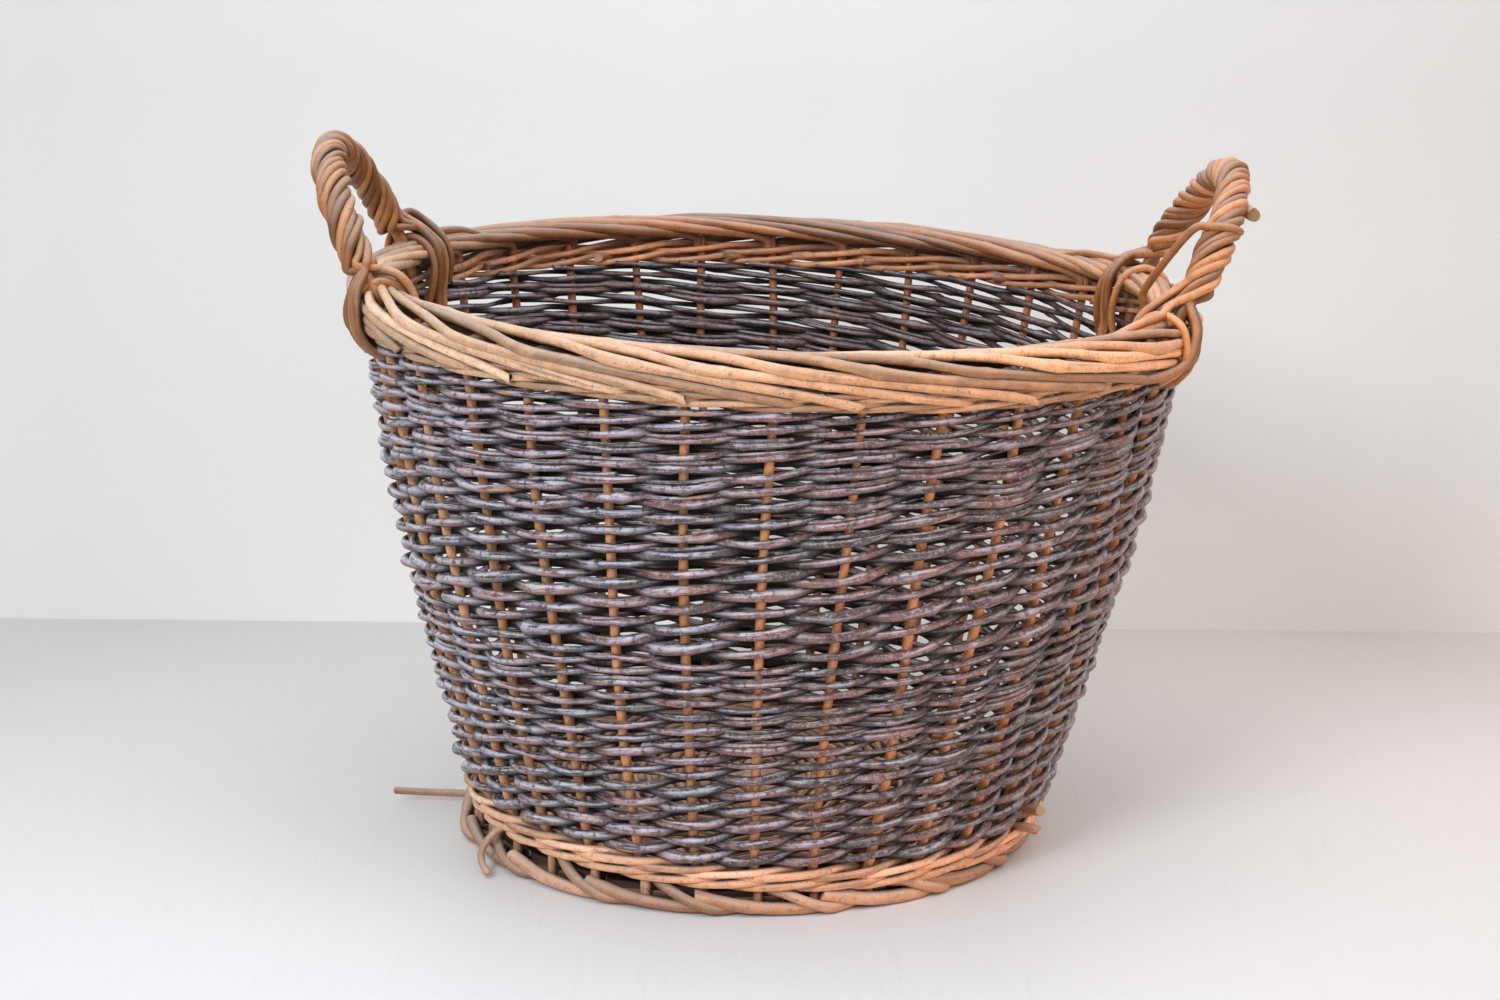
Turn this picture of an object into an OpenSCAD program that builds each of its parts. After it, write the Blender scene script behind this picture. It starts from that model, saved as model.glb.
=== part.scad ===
// Round willow log basket: pierced-slath base, upright stakes, two blocks of
// randed siding between bands of waling, a turned-down rim border, a plaited
// foot border and two roped handles.
// Millimetres, +Z up. The origin is on the floor, under the middle of the
// basket. The handles are at -X (left) and +X (right).
// Everything above the foot stands on one axis, which leans towards +X.

/* [Basket] */
// Outer diameter of the rim border
rim_d = 530; // [500:5:560]
// Height of the rim border's top above the floor, on the axis
rim_h = 356; // [340:2:370]
// Outer diameter of the wall at its lower edge
base_d = 368; // [350:2:390]
// How far the wall bows outwards between the foot and the rim
wall_bulge = 7; // [3:1:12]
// How far the basket's axis leans from upright, in degrees
lean = 1.7; // [0:0.1:2]

/* [Rods] */
// Diameter of the side stakes
stake_d = 6.5; // [5:0.5:7]
// Thickness of the woven wall, two weavers and a stake
wall_t = 17; // [16:0.5:19]
// Height of one ridge of the siding, which is two rounds of weavers
ridge_h = 10; // [8:0.5:14]
// Diameter of the base sticks
stick_d = 8.6; // [7:0.2:9]

/* [Rim and foot] */
// Radial thickness of the rim border
border_t = 28; // [24:1:32]
// Height of the rim border
border_h = 18; // [14:1:20]
// Outer diameter of the foot border
foot_d = 372; // [360:2:380]
// Height of the foot border
foot_h = 10.5; // [8:0.5:11]

/* [Handles] */
// Angle between a handle's two legs, seen from above, in degrees
handle_spread = 40.2; // [36:0.2:41]
// How far a handle tips outwards, in degrees
handle_tip = 27; // [15:1:30]
// Diameter of the rod inside each handle
bow_d = 8; // [7:0.5:9]
// Diameter of one strand of the roping
strand_d = 9; // [7:0.5:9]
// Turns that a strand makes round the bow
strand_turns = 2.6; // [2:0.1:3]

/* [Hidden] */
ring_fn = 128;
arc_fn = 256;   // for parts of very large rings
rod_fn = 24;
gap = 0.3;      // between a rod and the channel that it lies in

stake_n = 32;
stake_step = 360 / stake_n;
stick_n = stake_n / 4;
strand_n = 4;

// Heights along the basket's axis
upsett_low = 17;
siding_low = 34;
siding_join = 170;
siding_top = 321;
wale_top = 335;
border_low = rim_h - border_h;
border_mid = rim_h - border_h / 2;
base_mid = 24.5;

// The wall's middle line is an arc in the (radius, height) plane
border_r = rim_d / 2 - border_t / 2;
wall_low_pt = [base_d / 2 - wall_t / 2, upsett_low];
wall_top_pt = [border_r + 2, border_low];
chord = wall_top_pt - wall_low_pt;
arc_r = (pow(norm(chord), 2) / 4 + pow(wall_bulge, 2)) / (2 * wall_bulge);
arc_out = [chord.y, -chord.x] / norm(chord);
arc_c = (wall_low_pt + wall_top_pt) / 2 - arc_out * (arc_r - wall_bulge);

// The axis meets the floor here, so that the handles' ends lie evenly about X = 0
axis_x = -(border_mid + 60) * sin(lean);
foot_x = axis_x - 4;
foot_r = foot_d / 2 - 9.5;

base_weave_r = 162;
base_weave_in = 28;
base_weave_t = 15;
slath_pitch = 9.2;
slath_half = stick_n / 4 * slath_pitch;
butt_in_r = 110;

handle_hub = border_mid + 1;     // height of the arch's centre
leg_end = 240;                   // height where the bow's legs end in the siding
strand_from = 28;                // angle up the arch where the roping starts
strand_rings = 36;
strand_sides = 8;

function wall_r(w, off = 0) = arc_c.x + sqrt(pow(arc_r + off, 2) - pow(w - arc_c.y, 2));
function wall_angle(w) = asin((w - arc_c.y) / arc_r);
function polar(r, a, z) = [r * cos(a), r * sin(a), z];
function unit(v) = v / norm(v);
function two_digits(i) = str(i < 10 ? "0" : "", i);
function stake_name(i) = str("stake_", two_digits(i));
function stick_name(i) = str("base_stick_", i);
function strand_name(side, k) = str(side, "_handle_strand_", k);

leg_azimuth = handle_spread / 2;
arch_r = wall_r(handle_hub) * sin(leg_azimuth);
arch_x = wall_r(handle_hub) * cos(leg_azimuth);
rope_r = bow_d / 2 + strand_d / 2 + 0.2;

// A round rod from p to q
module rod(p, q, r) {
    d = q - p;
    translate(p)
        rotate([0, acos(d.z / norm(d)), atan2(d.y, d.x)])
            cylinder(h = norm(d), r = r, $fn = rod_fn);
}

// Stands a piece on the basket's leaning axis
module on_axis() {
    translate([axis_x, 0, 0]) rotate([0, lean, 0]) children();
}

// A ring of the wall from height w1 to w2, its faces ridged by the rounds of weaving
module wall_ring(w1, w2, ridge, depth) {
    n = 2 * max(1, round((w2 - w1) / ridge));
    w = [for (i = [0 : n]) w1 + (w2 - w1) * i / n];
    t = [for (i = [0 : n]) wall_t / 2 - (i % 2 == 0 ? depth : 0)];
    rotate_extrude($fn = ring_fn)
        polygon(concat(
            [for (i = [0 : n]) [wall_r(w[i], t[i]), w[i]]],
            [for (i = [n : -1 : 0]) [wall_r(w[i], -t[i]), w[i]]]
        ));
}

// One side stake: its butt lies in the base and its shaft follows the wall
module stake_shape(azimuth, grow, top) {
    low = base_mid - stake_d / 2;
    rotate([0, 0, azimuth]) {
        translate([arc_c.x, 0, arc_c.y])
            rotate([90, 0, 0])
                rotate([0, 0, wall_angle(low)])
                    rotate_extrude(angle = wall_angle(top) - wall_angle(low), $fn = arc_fn)
                        translate([arc_r, 0]) circle(r = stake_d / 2 + grow, $fn = rod_fn);
        rod([butt_in_r - grow, 0, base_mid], [wall_r(base_mid), 0, base_mid], stake_d / 2 - 0.2 + grow);
    }
}

// A bow: the rod inside a handle, arched above the rim, with legs down in the wall
module bow_shape(azimuth, grow) {
    rotate([0, 0, azimuth]) {
        translate([arch_x, 0, handle_hub])
            rotate([0, handle_tip, 0])
                rotate([90, 0, 90])
                    rotate_extrude(angle = 180, $fn = ring_fn)
                        translate([arch_r, 0]) circle(r = bow_d / 2 + grow, $fn = rod_fn);
        for (side = [-1, 1])
            rod(polar(wall_r(handle_hub + 3), side * leg_azimuth, handle_hub + 3),
                polar(wall_r(leg_end), side * leg_azimuth, leg_end),
                bow_d / 2 - 0.1 + grow);
    }
}

// The channels that the bows' legs lie in, through the waling and the siding
module leg_channels() {
    for (azimuth = [0, 180], side = [-1, 1])
        rotate([0, 0, azimuth])
            rod(polar(wall_r(handle_hub + 3), side * leg_azimuth, handle_hub + 3),
                polar(wall_r(leg_end), side * leg_azimuth, leg_end),
                bow_d / 2 - 0.1 + gap);
}

// The holes in the border where the bows come out of it, tipping outwards
module bow_holes() {
    r = bow_d / 2 + gap;
    up = [sin(handle_tip), 0, cos(handle_tip)];
    for (azimuth = [0, 180], side = [-1, 1])
        rotate([0, 0, azimuth]) {
            hub_pt = polar(wall_r(handle_hub), side * leg_azimuth, handle_hub);
            rod(polar(wall_r(border_low - 5), side * leg_azimuth, border_low - 5), hub_pt + [0, 0, 3], r);
            rod(hub_pt - 3 * up, hub_pt + 24 * up, r + 0.3);
        }
}

module wall_piece(tint, w1, w2, ridge, depth, bows) {
    color(tint)
        on_axis()
            difference() {
                wall_ring(w1, w2, ridge, depth);
                for (i = [0 : stake_n - 1]) stake_shape(i * stake_step, gap, border_low);
                if (bows) leg_channels();
            }
}

// The end of a base stick's arm, opened out to its place between two stakes
function stick_arm(i, sign) =
    let (lane = (i - 1) % 4 - 1.5, turn = sign * 90 - sign * lane * 2 * stake_step)
    polar(base_weave_r - 1, turn, base_mid);

// Base sticks 1 to 4 are pierced, and 5 to 8 pass through them, shaved flat
module stick_shape(i, grow) {
    pierced = i <= stick_n / 2;
    lane = (i - 1) % 4 - 1.5;
    half = slath_half + 4;
    r = stick_d / 2 + grow;
    rotate([0, 0, (pierced ? 0 : -90) - stake_step / 2]) {
        for (sign = [-1, 1])
            rod([lane * slath_pitch, sign * half, base_mid], stick_arm(i, sign), r);
        if (pierced)
            difference() {
                rod([lane * slath_pitch, -half - 1, base_mid], [lane * slath_pitch, half + 1, base_mid],
                    stick_d / 2 + 0.8);
                translate([lane * slath_pitch - stick_d, -slath_half - 0.4, base_mid - 2])
                    cube([2 * stick_d, 2 * slath_half + 0.8, 4]);
            }
        else
            translate([lane * slath_pitch - stick_d / 2, -half - 2, base_mid - 1.7])
                cube([stick_d, 2 * half + 4, 3.4]);
    }
}

module base_stick(i) {
    color([0.62, 0.43, 0.26]) on_axis() stick_shape(i, 0);
}

module base_weave() {
    color([0.66, 0.47, 0.29])
        on_axis()
            difference() {
                translate([0, 0, base_mid - base_weave_t / 2])
                    difference() {
                        cylinder(h = base_weave_t, r = base_weave_r, $fn = ring_fn);
                        translate([0, 0, -1])
                            cylinder(h = base_weave_t + 2, r = base_weave_in, $fn = ring_fn);
                    }
                for (i = [1 : stick_n], sign = [-1, 1])
                    base_weave_lane(i, sign);
                for (i = [0 : stake_n - 1])
                    rotate([0, 0, i * stake_step])
                        rod([butt_in_r - gap, 0, base_mid], [base_weave_r + 2, 0, base_mid],
                            stake_d / 2 - 0.2 + gap);
            }
}

// The channel that one arm of a base stick lies in
module base_weave_lane(i, sign) {
    lane = (i - 1) % 4 - 1.5;
    start = [lane * slath_pitch, sign * (slath_half + 4), base_mid];
    past = stick_arm(i, sign) + 6 * unit(stick_arm(i, sign) - start);
    rotate([0, 0, (i <= stick_n / 2 ? 0 : -90) - stake_step / 2])
        rod(start, past, stick_d / 2 + gap);
}

module stake(i) {
    color([0.78, 0.53, 0.28]) on_axis() stake_shape((i - 1) * stake_step, 0, border_low - 0.2);
}

// The foot: a plaited ring on the floor, with a peg up to the wall under each stake
module foot_border() {
    half = 9.5;
    peg_r = foot_r + 1;
    color([0.66, 0.45, 0.28])
        union() {
            translate([foot_x, 0, 0])
                rotate_extrude($fn = ring_fn)
                    polygon([
                        [foot_r - half + 1, 0], [foot_r + half - 1, 0],
                        [foot_r + half, foot_h * 0.4], [foot_r + half - 1, foot_h * 0.8],
                        [foot_r + half - 5, foot_h], [foot_r - half + 5, foot_h],
                        [foot_r - half + 1, foot_h * 0.8], [foot_r - half, foot_h * 0.4]
                    ]);
            for (i = [0 : stake_n - 1])
                let (p = polar(peg_r, i * stake_step, 0), under = wall_under(foot_x + p.x))
                    if (under > foot_h + 1)
                        translate([foot_x + p.x, p.y, foot_h / 2])
                            cylinder(h = under - foot_h / 2 - gap, r = 3, $fn = rod_fn);
        }
}

// Height of the wall's lower face above the floor, at a place along X
function wall_under(x) = upsett_low * cos(lean) - (x - axis_x + 3 - upsett_low * sin(lean)) * tan(lean);

module rim_border() {
    color([0.80, 0.56, 0.32])
        on_axis()
            difference() {
                rotate_extrude($fn = ring_fn)
                    polygon([for (a = [15 : 30 : 345])
                        [border_r + border_t / 2 * cos(a) / cos(15), border_mid + border_h / 2 * sin(a) / cos(15)]]);
                bow_holes();
            }
}

// A point beside the bow, at angle phi up the arch, rad from the arch's centre
function arch_pt(phi, rad, side) = [side, -rad * cos(phi), rad * sin(phi)];
function strand_phi(s) = strand_from + (180 - 2 * strand_from) * s;
function strand_psi(s, k) = 360 * (strand_turns * s + k / strand_n);
function strand_pt(s, k) =
    arch_pt(strand_phi(s), arch_r + rope_r * cos(strand_psi(s, k)), rope_r * sin(strand_psi(s, k)));
function strand_out(s, k) =
    arch_pt(strand_phi(s), cos(strand_psi(s, k)), sin(strand_psi(s, k)));
function strand_ring(s, k) =
    let (t = unit(strand_pt(s + 0.001, k) - strand_pt(s - 0.001, k)),
         e2 = unit(cross(t, strand_out(s, k))),
         e1 = cross(e2, t))
    [for (j = [0 : strand_sides - 1])
        strand_pt(s, k) + strand_d / 2 * (cos(360 * j / strand_sides) * e1 + sin(360 * j / strand_sides) * e2)];

// One strand of the roping, swept along its helix round the bow
module strand(azimuth, k) {
    n = strand_rings;
    m = strand_sides;
    points = [for (i = [0 : n]) each strand_ring(i / n, k)];
    sides = [for (i = [0 : n - 1], j = [0 : m - 1], half = [0, 1])
        let (a = i * m + j, b = i * m + (j + 1) % m)
            half == 0 ? [a, b, b + m] : [a, b + m, a + m]];
    first_end = [for (j = [1 : m - 2]) [0, j + 1, j]];
    last_end = [for (j = [1 : m - 2]) [n * m, n * m + j, n * m + j + 1]];
    color([0.72, 0.47, 0.28])
        on_axis()
            rotate([0, 0, azimuth])
                translate([arch_x, 0, handle_hub])
                    rotate([0, handle_tip, 0])
                        polyhedron(points = points, faces = concat(first_end, sides, last_end));
}

module handle_bow(azimuth) {
    color([0.70, 0.48, 0.29]) on_axis() bow_shape(azimuth, 0);
}

// A lashing: a strand's end, over the border and down both faces of the wall
module lashing(azimuth) {
    r = 3.4;
    hoop = border_t / 2 + r + 0.5;
    foot_w = siding_top - 7;
    rotate([0, 0, azimuth]) {
        translate([border_r, 0, border_mid])
            rotate([90, 0, 0])
                rotate_extrude(angle = 180, $fn = ring_fn)
                    translate([hoop, 0]) circle(r = r, $fn = rod_fn);
        rod([border_r + hoop, 0, border_mid + 1], [wall_r(foot_w) + wall_t / 2 + r + gap, 0, foot_w], r - 0.1);
        rod([border_r - hoop, 0, border_mid + 1], [wall_r(foot_w) - wall_t / 2 - r - gap, 0, foot_w], r - 0.1);
    }
}

module handle_lashings(azimuth) {
    beside = 2.3;   // degrees from a leg to the lashing on either side of it
    color([0.68, 0.44, 0.26])
        on_axis()
            for (side = [-1, 1], step = [-1, 1])
                lashing(azimuth + side * leg_azimuth + step * beside);
}

// A foot rod's butt left long on the left, and a broken tip that hangs to the floor
module stray_rod_ends() {
    butt_r = 2.8;
    tip_r = 2.2;
    foot_out = foot_d / 2 + gap;
    color([0.62, 0.46, 0.30])
        translate([foot_x, 0, 0]) {
            rod([-foot_out, 22, 5.5], [-foot_out - 47, 22, 8], butt_r);
            rod([-155, -100, 24], [-163, -105, 11], tip_r);
            rod([-162.6, -104.8, 12], [-160, -118, 2.6], tip_r);
        }
}

foot_border();
base_weave();
for (i = [1 : stick_n])
    base_stick(i);
for (i = [1 : stake_n])
    stake(i);
wall_piece([0.74, 0.52, 0.33], upsett_low, siding_low, 5.7, 1.2, false);  // upsett_wale
wall_piece([0.26, 0.19, 0.19], siding_low + 0.1, siding_join, ridge_h, 1.4, false);  // lower_siding
wall_piece([0.24, 0.17, 0.18], siding_join + 0.1, siding_top, ridge_h, 1.4, true);  // upper_siding
wall_piece([0.76, 0.52, 0.31], siding_top + 0.1, wale_top, 7, 1.2, true);  // top_wale
rim_border();
handle_bow(180);  // left_handle_bow
handle_bow(0);  // right_handle_bow
for (k = [1 : strand_n]) {
    strand(180, k);
    strand(0, k);
}
handle_lashings(180);  // left_handle_lashings
handle_lashings(0);  // right_handle_lashings
stray_rod_ends();
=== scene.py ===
"""A round willow log basket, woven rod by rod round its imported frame."""

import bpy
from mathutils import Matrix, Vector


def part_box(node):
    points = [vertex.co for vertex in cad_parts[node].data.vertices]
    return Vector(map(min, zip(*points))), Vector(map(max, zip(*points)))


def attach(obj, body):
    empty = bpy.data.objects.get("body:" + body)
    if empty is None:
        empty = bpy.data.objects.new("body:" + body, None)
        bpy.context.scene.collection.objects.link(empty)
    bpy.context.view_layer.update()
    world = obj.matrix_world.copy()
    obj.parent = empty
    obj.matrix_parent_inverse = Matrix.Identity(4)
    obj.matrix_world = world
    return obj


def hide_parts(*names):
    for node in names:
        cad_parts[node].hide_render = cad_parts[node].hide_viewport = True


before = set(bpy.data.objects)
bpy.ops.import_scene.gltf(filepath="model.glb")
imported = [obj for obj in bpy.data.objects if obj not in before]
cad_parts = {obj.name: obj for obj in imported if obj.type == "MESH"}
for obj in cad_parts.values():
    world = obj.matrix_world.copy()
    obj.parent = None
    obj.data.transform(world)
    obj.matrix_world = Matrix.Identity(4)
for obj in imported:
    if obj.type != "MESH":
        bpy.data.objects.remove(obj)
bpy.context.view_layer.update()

import math
import random

import bmesh
import bpy
import numpy as np
from bpy.props import (
    FloatProperty,
    FloatVectorProperty,
    IntProperty,
    PointerProperty,
)
from mathutils import Matrix, Vector

bl_info = {
    "name": "Willow Log Basket",
    "version": (1, 0, 0),
    "blender": (4, 5, 0),
    "location": "3D View > Sidebar > Basket",
    "description": "Weaves a round willow log basket, rod by rod, round its frame",
    "category": "Object",
}

MM = 0.001
RIM_LOW, RIM_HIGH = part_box("rim_border")


# ---------------------------------------------------------------- settings


class BasketShape(bpy.types.PropertyGroup):
    """The sizes of the basket's body"""

    stakes: IntProperty(name="Stakes", description="Number of side stakes", default=32)
    rim_diameter: FloatProperty(
        name="Rim diameter",
        description="Outside diameter of the rim border",
        default=RIM_HIGH.y - RIM_LOW.y,
        unit="LENGTH",
    )
    base_diameter: FloatProperty(
        name="Base diameter",
        description="Outside diameter of the wall at its lower edge",
        default=0.368,
        unit="LENGTH",
    )
    wall_thickness: FloatProperty(
        name="Wall thickness",
        description="Thickness of the woven wall",
        default=0.017,
        unit="LENGTH",
    )
    bulge: FloatProperty(
        name="Bulge",
        description="How far the wall bows outwards between foot and rim",
        default=0.007,
        unit="LENGTH",
    )
    lean: FloatProperty(
        name="Lean",
        description="How far the basket's axis leans towards the right-hand handle",
        default=math.radians(1.7),
        subtype="ANGLE",
    )
    seed: IntProperty(
        name="Seed", description="Settles how the rods vary", default=32
    )


class WillowRods(bpy.types.PropertyGroup):
    """The thicknesses of the rods"""

    weaver_butt: FloatProperty(
        name="Weaver's butt",
        description="Diameter of a weaver at its thick end",
        default=0.0059,
        unit="LENGTH",
    )
    weaver_tip: FloatProperty(
        name="Weaver's tip",
        description="Diameter of a weaver at its thin end",
        default=0.0036,
        unit="LENGTH",
    )
    stake: FloatProperty(
        name="Stake", description="Diameter of a side stake", default=0.0065, unit="LENGTH"
    )
    wale: FloatProperty(
        name="Waling rod",
        description="Diameter of a rod in the waling",
        default=0.0046,
        unit="LENGTH",
    )
    border: FloatProperty(
        name="Border strand",
        description="Diameter of a strand of the rim border",
        default=0.0064,
        unit="LENGTH",
    )
    foot: FloatProperty(
        name="Foot rod",
        description="Diameter of a rod of the foot border",
        default=0.0086,
        unit="LENGTH",
    )
    roping: FloatProperty(
        name="Roping rod",
        description="Diameter of one rod of a handle's roping",
        default=0.0056,
        unit="LENGTH",
    )


class WillowColours(bpy.types.PropertyGroup):
    """The colours of the willow"""

    bark_dark: FloatVectorProperty(
        name="Dark bark",
        description="The darkest weavers",
        default=(0.044, 0.018, 0.016),
        subtype="COLOR",
    )
    bark_plum: FloatVectorProperty(
        name="Plum bark",
        description="Most of the weavers",
        default=(0.172, 0.058, 0.052),
        subtype="COLOR",
    )
    bark_red: FloatVectorProperty(
        name="Red bark",
        description="The reddest weavers",
        default=(0.250, 0.090, 0.060),
        subtype="COLOR",
    )
    stake: FloatVectorProperty(
        name="Stake",
        description="The side stakes",
        default=(0.66, 0.275, 0.105),
        subtype="COLOR",
    )
    border: FloatVectorProperty(
        name="Border",
        description="The rim border and its waling",
        default=(0.565, 0.285, 0.130),
        subtype="COLOR",
    )
    foot: FloatVectorProperty(
        name="Foot",
        description="The foot border and its waling",
        default=(0.44, 0.205, 0.098),
        subtype="COLOR",
    )
    handle: FloatVectorProperty(
        name="Handle",
        description="The roped handles",
        default=(0.38, 0.165, 0.050),
        subtype="COLOR",
    )
    pith: FloatVectorProperty(
        name="Cut end",
        description="A rod's freshly cut end",
        default=(0.52, 0.33, 0.18),
        subtype="COLOR",
    )


class StudioSettings(bpy.types.PropertyGroup):
    """The camera and the light"""

    lens: FloatProperty(
        name="Lens", description="Focal length on a 36 mm sensor", default=77.4
    )
    camera_place: FloatVectorProperty(
        name="Camera",
        description="Where the camera stands",
        default=(-0.0157, -2.0, 0.694),
        subtype="TRANSLATION",
    )
    pitch: FloatProperty(
        name="Pitch",
        description="How far the camera looks down",
        default=math.radians(13.53),
        subtype="ANGLE",
    )
    roll: FloatProperty(
        name="Roll",
        description="How far the camera tips sideways",
        default=math.radians(0.55),
        subtype="ANGLE",
    )
    wall_distance: FloatProperty(
        name="Wall",
        description="How far behind the basket the wall stands",
        default=0.46,
        unit="LENGTH",
    )


# ---------------------------------------------------------------- the basket's own shape


def settings():
    """The scene's settings for the shape and the rods."""
    scene = bpy.context.scene
    return scene.basket_shape, scene.willow_rods


# Heights on the basket's axis, in mm
UPSETT_LOW = 17.0
BASE_MID = 24.5
SIDING_LOW = 29.5
SIDING_JOIN = 169.0
SIDING_TOP = 325.0
WALE_TOP = 337.0
BORDER_LOW = 338.0
BORDER_MID = 347.0
HUB = BORDER_MID + 1  # the middle of the handles' arches

BORDER_THICKNESS = 28.0  # mm, from the inside of the rim to its outside
LEG_AZIMUTH = 20.1  # degrees from a handle's middle to each of its legs
HANDLE_TIP = 27.0  # degrees that a handle leans outwards
RIGHT_HANDLE_LIFT = 6.0  # mm that the right-hand roping stands higher


def border_radius():
    """Radius of the rim border's middle line, in mm."""
    return bpy.context.scene.basket_shape.rim_diameter / MM / 2 - BORDER_THICKNESS / 2


def wall_radius(w):
    """Radius of the wall's middle line at height w on the basket's axis, in mm."""
    shape = bpy.context.scene.basket_shape
    half_t, bulge = shape.wall_thickness / MM / 2, shape.bulge / MM
    low = np.array([shape.base_diameter / MM / 2 - half_t, UPSETT_LOW])
    top = np.array([border_radius() + 2, BORDER_LOW])
    chord = top - low
    length = np.hypot(*chord)
    arc = (length**2 / 4 + bulge**2) / (2 * bulge)
    out = np.array([chord[1], -chord[0]]) / length
    centre = (low + top) / 2 - out * (arc - bulge)
    return centre[0] + np.sqrt(arc**2 - (np.asarray(w, float) - centre[1]) ** 2)


def axis_x():
    """Where the basket's axis meets the floor, in mm."""
    return -(BORDER_MID + 60) * math.sin(bpy.context.scene.basket_shape.lean)


def on_axis(radius, azimuth, w):
    """Points in metres from radius (mm), azimuth (degrees) and height (mm) on the leaning axis."""
    lean = bpy.context.scene.basket_shape.lean
    a = np.radians(azimuth)
    x, y = radius * np.cos(a), radius * np.sin(a)
    w = np.asarray(w, float) + 0 * x
    return np.stack(
        [
            axis_x() + x * math.cos(lean) + w * math.sin(lean),
            y,
            -x * math.sin(lean) + w * math.cos(lean),
        ],
        -1,
    ) * MM


def bearing_of(line):
    """Azimuths, in degrees, of points in metres."""
    lean = math.tan(bpy.context.scene.basket_shape.lean)
    return np.degrees(np.arctan2(line[:, 1], line[:, 0] - axis_x() * MM - line[:, 2] * lean))


def foot_x():
    """Where the middle of the foot stands, in mm."""
    return axis_x() - 4


def on_foot(radius, azimuth, z):
    """The same for the foot, which stands level."""
    a = np.radians(azimuth)
    x, y = radius * np.cos(a), radius * np.sin(a)
    return np.stack([foot_x() + x, y, np.asarray(z, float) + 0 * x], -1) * MM


def stake_azimuth(place, w):
    """Azimuth in degrees of a place counted in stakes; each stake wanders a little as it rises."""
    shape = bpy.context.scene.basket_shape
    place = np.asarray(place, float)
    w = np.asarray(w, float)
    low = np.floor(place).astype(int)
    u = np.clip((w - 30) / 310, 0, 1)

    def wander(i):
        i = np.mod(i, shape.stakes)
        first = np.sin(i * 12.9898 + shape.seed) * 0.75
        second = np.sin(i * 78.233 + shape.seed * 1.7) * 0.55
        return first * np.sin(np.pi * u) + second * np.sin(2 * np.pi * u)

    step = 360 / shape.stakes
    part = place - low
    return place * step + wander(low) * (1 - part) + wander(low + 1) * part


def weave_wave(azimuth, w):
    """The rounds of weaving rise and dip gently, all together."""
    a = np.radians(azimuth)
    inside = np.clip((w - UPSETT_LOW) / 40, 0, 1) * np.clip((WALE_TOP - w) / 30, 0, 1)
    return inside * (
        1.5 * np.sin(2 * a + 0.6 + w / 70) + 0.9 * np.sin(5 * a + w / 33) + 0.5 * np.sin(9 * a + w / 21)
    )


def smooth_line(knots, count):
    """A smooth line of count + 1 points through the knots, which are rows of any length."""
    knots = np.asarray(knots, float)
    padded = np.vstack([2 * knots[0] - knots[1], knots, 2 * knots[-1] - knots[-2]])
    t = np.linspace(0, len(knots) - 1, count + 1)
    i = np.minimum(t.astype(int), len(knots) - 2)
    f = (t - i)[:, None]
    p0, p1, p2, p3 = padded[i], padded[i + 1], padded[i + 2], padded[i + 3]
    return 0.5 * (
        2 * p1 + (p2 - p0) * f + (2 * p0 - 5 * p1 + 4 * p2 - p3) * f**2 + (3 * p1 - p0 - 3 * p2 + p3) * f**3
    )


# ---------------------------------------------------------------- rods

CLEAR_OF_HEART = 0.006  # m from what a rod is wrapped round to where its outer side is in full light

straight_rods = {}


def only(thing):
    """Selects one object and nothing else."""
    bpy.ops.object.select_all(action="DESELECT")
    thing.select_set(True)
    bpy.context.view_layer.objects.active = thing


def straight_rod(sides, rings):
    """One straight rod, a metre long and a metre in radius, cut into rings, modelled once for each need."""
    if (sides, rings) in straight_rods:
        return straight_rods[sides, rings]
    bpy.ops.object.select_all(action="DESELECT")
    bpy.ops.mesh.primitive_cylinder_add(
        vertices=sides, radius=1, depth=1, end_fill_type="NGON", rotation=(0, math.pi / 2, 0)
    )
    rod = bpy.context.active_object
    rod.location.x = 0.5
    bpy.ops.object.transform_apply(location=True, rotation=True, scale=True)
    bpy.ops.object.mode_set(mode="EDIT")
    bpy.ops.mesh.select_mode(type="EDGE")
    for _ in range(int(math.log2(rings))):
        bpy.ops.mesh.select_all(action="DESELECT")
        edit = bmesh.from_edit_mesh(rod.data)
        for edge in edit.edges:
            if abs(edge.verts[0].co.x - edge.verts[1].co.x) > 1e-5:
                edge.select_set(True)
        bmesh.update_edit_mesh(rod.data)
        bpy.ops.mesh.subdivide(number_cuts=1)
    bpy.ops.object.mode_set(mode="OBJECT")
    rod.name = f"straight_rod_{sides}_{rings}"
    straight_rods[sides, rings] = rod
    return rod


def put_away_straight_rods():
    """Removes the straight rods once every bent copy is made."""
    for rod in straight_rods.values():
        mesh = rod.data
        bpy.data.objects.remove(rod)
        bpy.data.meshes.remove(mesh)
    straight_rods.clear()


def nearest(line, points):
    """For each point of the line, the nearest of the points."""
    gaps = np.linalg.norm(line[:, None, :] - points[None, :, :], axis=2)
    return points[np.argmin(gaps, axis=1)]


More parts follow.
